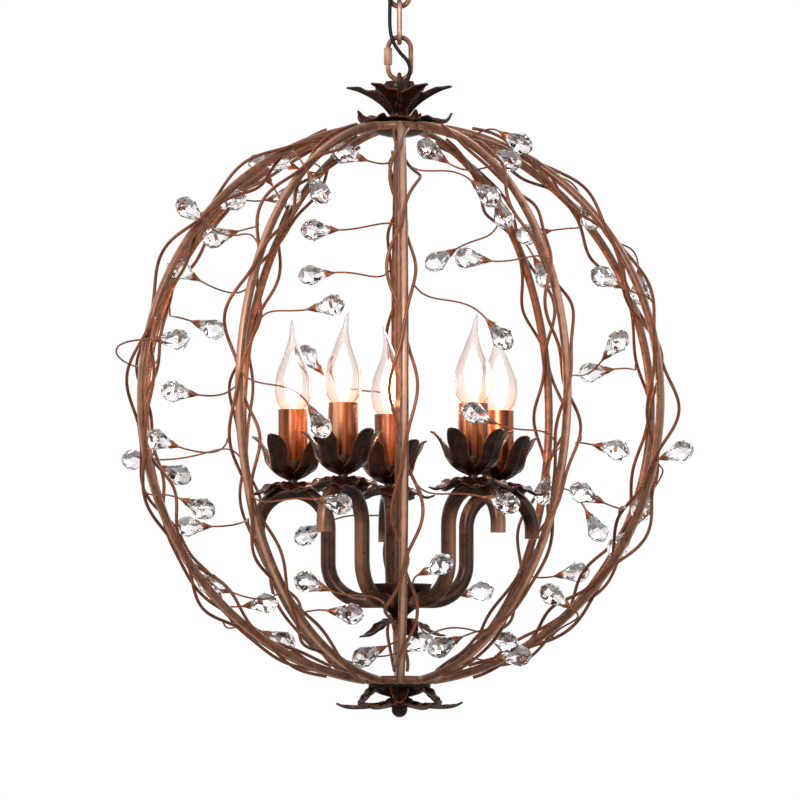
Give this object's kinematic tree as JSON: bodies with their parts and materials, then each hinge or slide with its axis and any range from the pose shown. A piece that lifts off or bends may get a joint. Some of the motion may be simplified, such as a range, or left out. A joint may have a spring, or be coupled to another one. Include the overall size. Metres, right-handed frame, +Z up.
{
  "type": "orb chandelier",
  "caption": "Round cage chandelier with wire vines and glass drops around candle lights on cane arms, hung by chain from a ceiling canopy.",
  "frame": {"origin": "middle of the ceiling bracket's upper face, between its two screw holes", "axes": "+Z up, out of the ceiling fitting; +X along the bracket, to the right of the pictured front; -Y is the pictured front"},
  "size_m": [0.5373, 0.5331, 0.7982],
  "materials": {
    "cage_bronze": "brushed antique bronze paint rubbed through to copper",
    "arm_bronze": "antique bronze paint, satin",
    "leaf_bronze": "dark antique bronze paint with copper rub",
    "dark_bronze": "dark bronze paint",
    "vine_wire": "annealed wire, dark bronze with copper rub",
    "candle_sleeve": "copper bronze tube",
    "lampholder": "moulded phenolic",
    "brass_cap": "plain brass",
    "bulb_glass": "clear glass, lit warm white",
    "crystal": "clear faceted glass",
    "cord": "black flexible sheath",
    "plated_steel": "zinc plated"
  },
  "bodies": {
    "ceiling_fitting": {"canopy": "dark_bronze", "ceiling_bracket": "plated_steel", "ceiling_loop": "dark_bronze", "lock_nut": "plated_steel", "supply_cord": "cord"},
    "link_top": {"chain_link_top": "dark_bronze"},
    "link_middle": {"chain_link_middle": "dark_bronze"},
    "link_low": {"chain_link_low": "dark_bronze"},
    "connector": {"connector": "dark_bronze"},
    "connector_nut": {"connector_nut": "dark_bronze"},
    "bulb_1": {"bulb_cap_1": "brass_cap", "bulb_glass_1": "bulb_glass"},
    "bulb_2": {"bulb_cap_2": "brass_cap", "bulb_glass_2": "bulb_glass"},
    "bulb_3": {"bulb_cap_3": "brass_cap", "bulb_glass_3": "bulb_glass"},
    "bulb_4": {"bulb_cap_4": "brass_cap", "bulb_glass_4": "bulb_glass"},
    "bulb_5": {"bulb_cap_5": "brass_cap", "bulb_glass_5": "bulb_glass"},
    "orb": {"arm_1": "arm_bronze", "arm_2": "arm_bronze", "arm_3": "arm_bronze", "arm_4": "arm_bronze", "arm_5": "arm_bronze", "bobeches": "leaf_bronze", "bottom_ring": "cage_bronze", "candle_cups": "leaf_bronze", "candle_sleeve_1": "candle_sleeve", "candle_sleeve_2": "candle_sleeve", "candle_sleeve_3": "candle_sleeve", "candle_sleeve_4": "candle_sleeve", "candle_sleeve_5": "candle_sleeve", "crown_collar": "leaf_bronze", "crown_eye": "dark_bronze", "crown_leaves": "leaf_bronze", "drop_caps": "vine_wire", "finial": "leaf_bronze", "foot_leaves": "leaf_bronze", "foot_rosette": "leaf_bronze", "glass_drops": "crystal", "hub": "leaf_bronze", "hub_leaves": "leaf_bronze", "lamp_sockets": "lampholder", "rib_01": "cage_bronze", "rib_02": "cage_bronze", "rib_03": "cage_bronze", "rib_04": "cage_bronze", "rib_05": "cage_bronze", "rib_06": "cage_bronze", "rib_07": "cage_bronze", "rib_08": "cage_bronze", "rib_09": "cage_bronze", "rib_10": "cage_bronze", "stem": "cage_bronze", "tendrils": "vine_wire", "top_ring": "cage_bronze", "vine_wires": "vine_wire"}
  },
  "joints": [
    {"name": "top_link_swing", "type": "hinge", "parent": "ceiling_fitting", "child": "link_top", "pos_m": [0, 0, -0.0514], "axis": [1, 0, 0], "range_deg": [-20, 20], "deforming": ["supply_cord"]},
    {"name": "middle_link_swing", "type": "hinge", "parent": "link_top", "child": "link_middle", "pos_m": [0, 0, -0.0863], "axis": [0, 1, 0], "range_deg": [-20, 20], "deforming": ["supply_cord"]},
    {"name": "low_link_swing", "type": "hinge", "parent": "link_middle", "child": "link_low", "pos_m": [0, 0, -0.121], "axis": [1, 0, 0], "range_deg": [-20, 20], "deforming": ["supply_cord"]},
    {"name": "connector_swing", "type": "hinge", "parent": "link_low", "child": "connector", "pos_m": [0, 0, -0.1557], "axis": [0, 1, 0], "range_deg": [-20, 20], "deforming": ["supply_cord"]},
    {"name": "connector_nut_travel", "type": "slide", "parent": "connector", "child": "connector_nut", "axis": [0, 0, -1], "range_m": [0, 0.006]},
    {"name": "orb_swing", "type": "hinge", "parent": "connector", "child": "orb", "pos_m": [0, 0, -0.1913], "axis": [1, 0, 0], "range_deg": [-20, 20], "deforming": ["supply_cord"]},
    {"name": "bulb_1_unscrew", "type": "hinge", "parent": "orb", "child": "bulb_1", "pos_m": [-0.05263, -0.0897, -0.50493], "axis": [0, 0, 1], "range_deg": [0, 900]},
    {"name": "bulb_2_unscrew", "type": "hinge", "parent": "orb", "child": "bulb_2", "pos_m": [0.06905, -0.07777, -0.50493], "axis": [0, 0, 1], "range_deg": [0, 900]},
    {"name": "bulb_3_unscrew", "type": "hinge", "parent": "orb", "child": "bulb_3", "pos_m": [0.0953, 0.04164, -0.50493], "axis": [0, 0, 1], "range_deg": [0, 900]},
    {"name": "bulb_4_unscrew", "type": "hinge", "parent": "orb", "child": "bulb_4", "pos_m": [-0.01015, 0.1035, -0.50493], "axis": [0, 0, 1], "range_deg": [0, 900]},
    {"name": "bulb_5_unscrew", "type": "hinge", "parent": "orb", "child": "bulb_5", "pos_m": [-0.10157, 0.02233, -0.50493], "axis": [0, 0, 1], "range_deg": [0, 900]}
  ]
}
